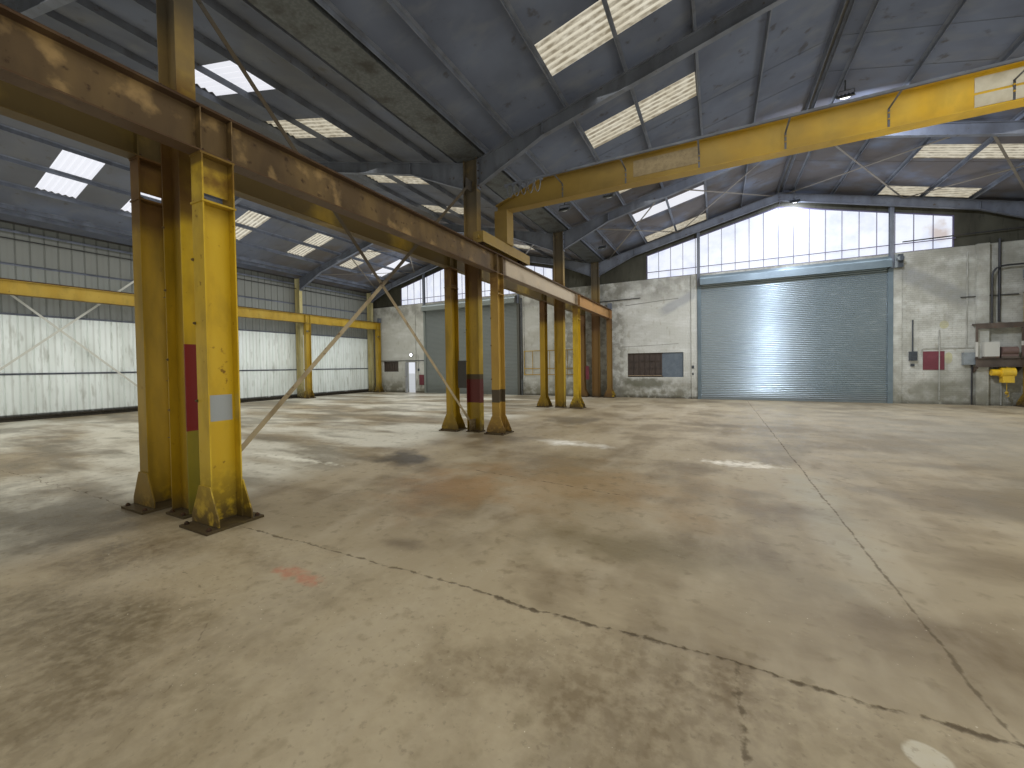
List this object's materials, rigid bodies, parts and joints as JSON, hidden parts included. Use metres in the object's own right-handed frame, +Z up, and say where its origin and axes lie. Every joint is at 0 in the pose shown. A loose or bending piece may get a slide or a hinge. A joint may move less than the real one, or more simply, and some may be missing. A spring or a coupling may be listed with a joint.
{
  "type": "factory building",
  "caption": "Twin-bay steel-framed factory shed with pitched roofs meeting at a valley, rooflights, glazed gables, roller shutters, runway beams and a travelling crane.",
  "frame": {"origin": "ground level under the middle of the valley row of stanchions", "axes": "+X across the bays towards the bay with the crane, +Y along the building towards the gable with the personnel door, +Z up"},
  "size_m": [31.391, 35.964, 8.8748],
  "materials": {
    "concrete": "power-floated concrete, stained",
    "masonry": "painted blockwork",
    "cladding_dark": "coated sheet, dusty",
    "glazing_bar": "painted",
    "glass": "obscured and dusty",
    "door_frame": "painted",
    "door_timber": "painted timber",
    "window_frame": "painted",
    "shutter": "galvanised and painted slats",
    "shutter_hood": "painted sheet",
    "shutter_guide": "painted",
    "wall_sheet": "coated sheet",
    "wall_rail": "painted",
    "yellow_paint": "old gloss paint, worn",
    "olive_paint": "old gloss paint, worn",
    "rail_steel": "worn bright on top, rusty at the sides",
    "dark_paint": "painted, dusty",
    "roof_sheet": "fibre cement, sooty",
    "lining_board": "lining board, dusty",
    "rooflight": "translucent sheet, weathered",
    "gutter": "flaking paint",
    "brace_paint": "painted",
    "crane_yellow": "gloss paint",
    "lamp_housing": "as cast, dusty",
    "box_paint": "painted",
    "wheel_iron": "machined tread"
  },
  "bodies": {
    "building": {"floor_slab": "concrete", "far_wall_main": "masonry", "far_wall_corner": "masonry", "far_wall_over_door": "masonry", "front_wall": "masonry", "gable_cladding": "cladding_dark", "gable_glazing_bars": "glazing_bar", "gable_glass": "glass", "door_frame": "door_frame", "far_windows": "window_frame", "shutter_curtains": "shutter", "shutter_hoods": "shutter_hood", "shutter_guides": "shutter_guide", "gable_posts": "dark_paint", "wall_sheets": "wall_sheet", "wall_rails": "wall_rail", "valley_posts": "yellow_paint", "wall_posts": "olive_paint", "valley_crane_columns": "yellow_paint", "wall_crane_columns": "olive_paint", "left_bay_runways": "yellow_paint", "right_bay_runways": "yellow_paint", "crane_rails": "rail_steel", "runway_stops": "dark_paint", "rafters": "dark_paint", "purlins": "dark_paint", "left_roof_sheets": "roof_sheet", "right_roof_sheets": "roof_sheet", "roof_linings": "lining_board", "rooflights": "rooflight", "ridge_caps": "roof_sheet", "valley_gutter": "gutter", "eaves_gutters": "gutter", "downpipes": "gutter", "cross_bracing": "brace_paint", "floodlights": "lamp_housing", "switch_boxes": "box_paint", "guard_rail": "crane_yellow", "wall_rack": "dark_paint", "wall_hoist": "crane_yellow"},
    "crane": {"crane_girder": "crane_yellow", "crane_end_carriages": "crane_yellow", "crane_wheels": "wheel_iron", "crane_cable_track": "rail_steel"},
    "door": {"door_leaf": "door_timber"}
  },
  "joints": [
    {"name": "crane_travel", "type": "slide", "parent": "building", "child": "crane", "axis": [0, 1, 0], "range_m": [-22.59, 9.59]},
    {"name": "door_swing", "type": "hinge", "parent": "building", "child": "door", "pos_m": [-12.404, 17.628, 1.2], "axis": [0, 0, 1], "range_deg": [-33, 62]}
  ]
}
